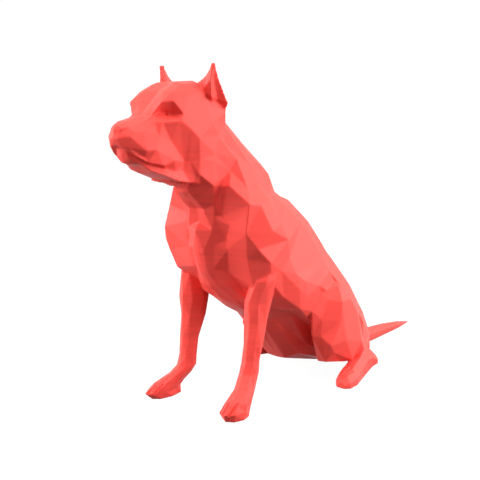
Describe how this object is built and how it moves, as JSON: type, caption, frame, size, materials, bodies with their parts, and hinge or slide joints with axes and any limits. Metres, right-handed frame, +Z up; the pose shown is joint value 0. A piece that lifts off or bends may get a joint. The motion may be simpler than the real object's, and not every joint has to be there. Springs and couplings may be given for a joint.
{
  "type": "low-poly sitting dog figurine",
  "caption": "Faceted dog ornament that sits upright on its haunches with cropped pointed ears and a straight tail, glued up from printed sections on blind dowels.",
  "frame": {"origin": "on the floor, under the middle of the figure's bounding box", "axes": "+Z up, the dog faces -Y, its left side is +X"},
  "size_m": [0.0876, 0.2612, 0.17],
  "materials": {
    "coral_pla": "satin coral-red PLA filament print with fine horizontal layer lines",
    "dowel_pla": "printed PLA pin, matte, hidden inside the glued seams"
  },
  "bodies": {
    "root": {"head": "coral_pla", "chest": "coral_pla", "rump": "coral_pla", "left_front_leg": "coral_pla", "right_front_leg": "coral_pla", "left_hind_leg": "coral_pla", "right_hind_leg": "coral_pla", "tail": "coral_pla", "neck_dowel_front": "dowel_pla", "neck_dowel_rear": "dowel_pla", "body_dowel_upper": "dowel_pla", "body_dowel_left": "dowel_pla", "body_dowel_right": "dowel_pla", "left_elbow_dowel_front": "dowel_pla", "left_elbow_dowel_rear": "dowel_pla", "right_elbow_dowel_front": "dowel_pla", "right_elbow_dowel_rear": "dowel_pla", "left_hip_dowel_upper": "dowel_pla", "left_hip_dowel_lower": "dowel_pla", "right_hip_dowel_upper": "dowel_pla", "right_hip_dowel_lower": "dowel_pla", "tail_dowel": "dowel_pla"}
  },
  "joints": []
}
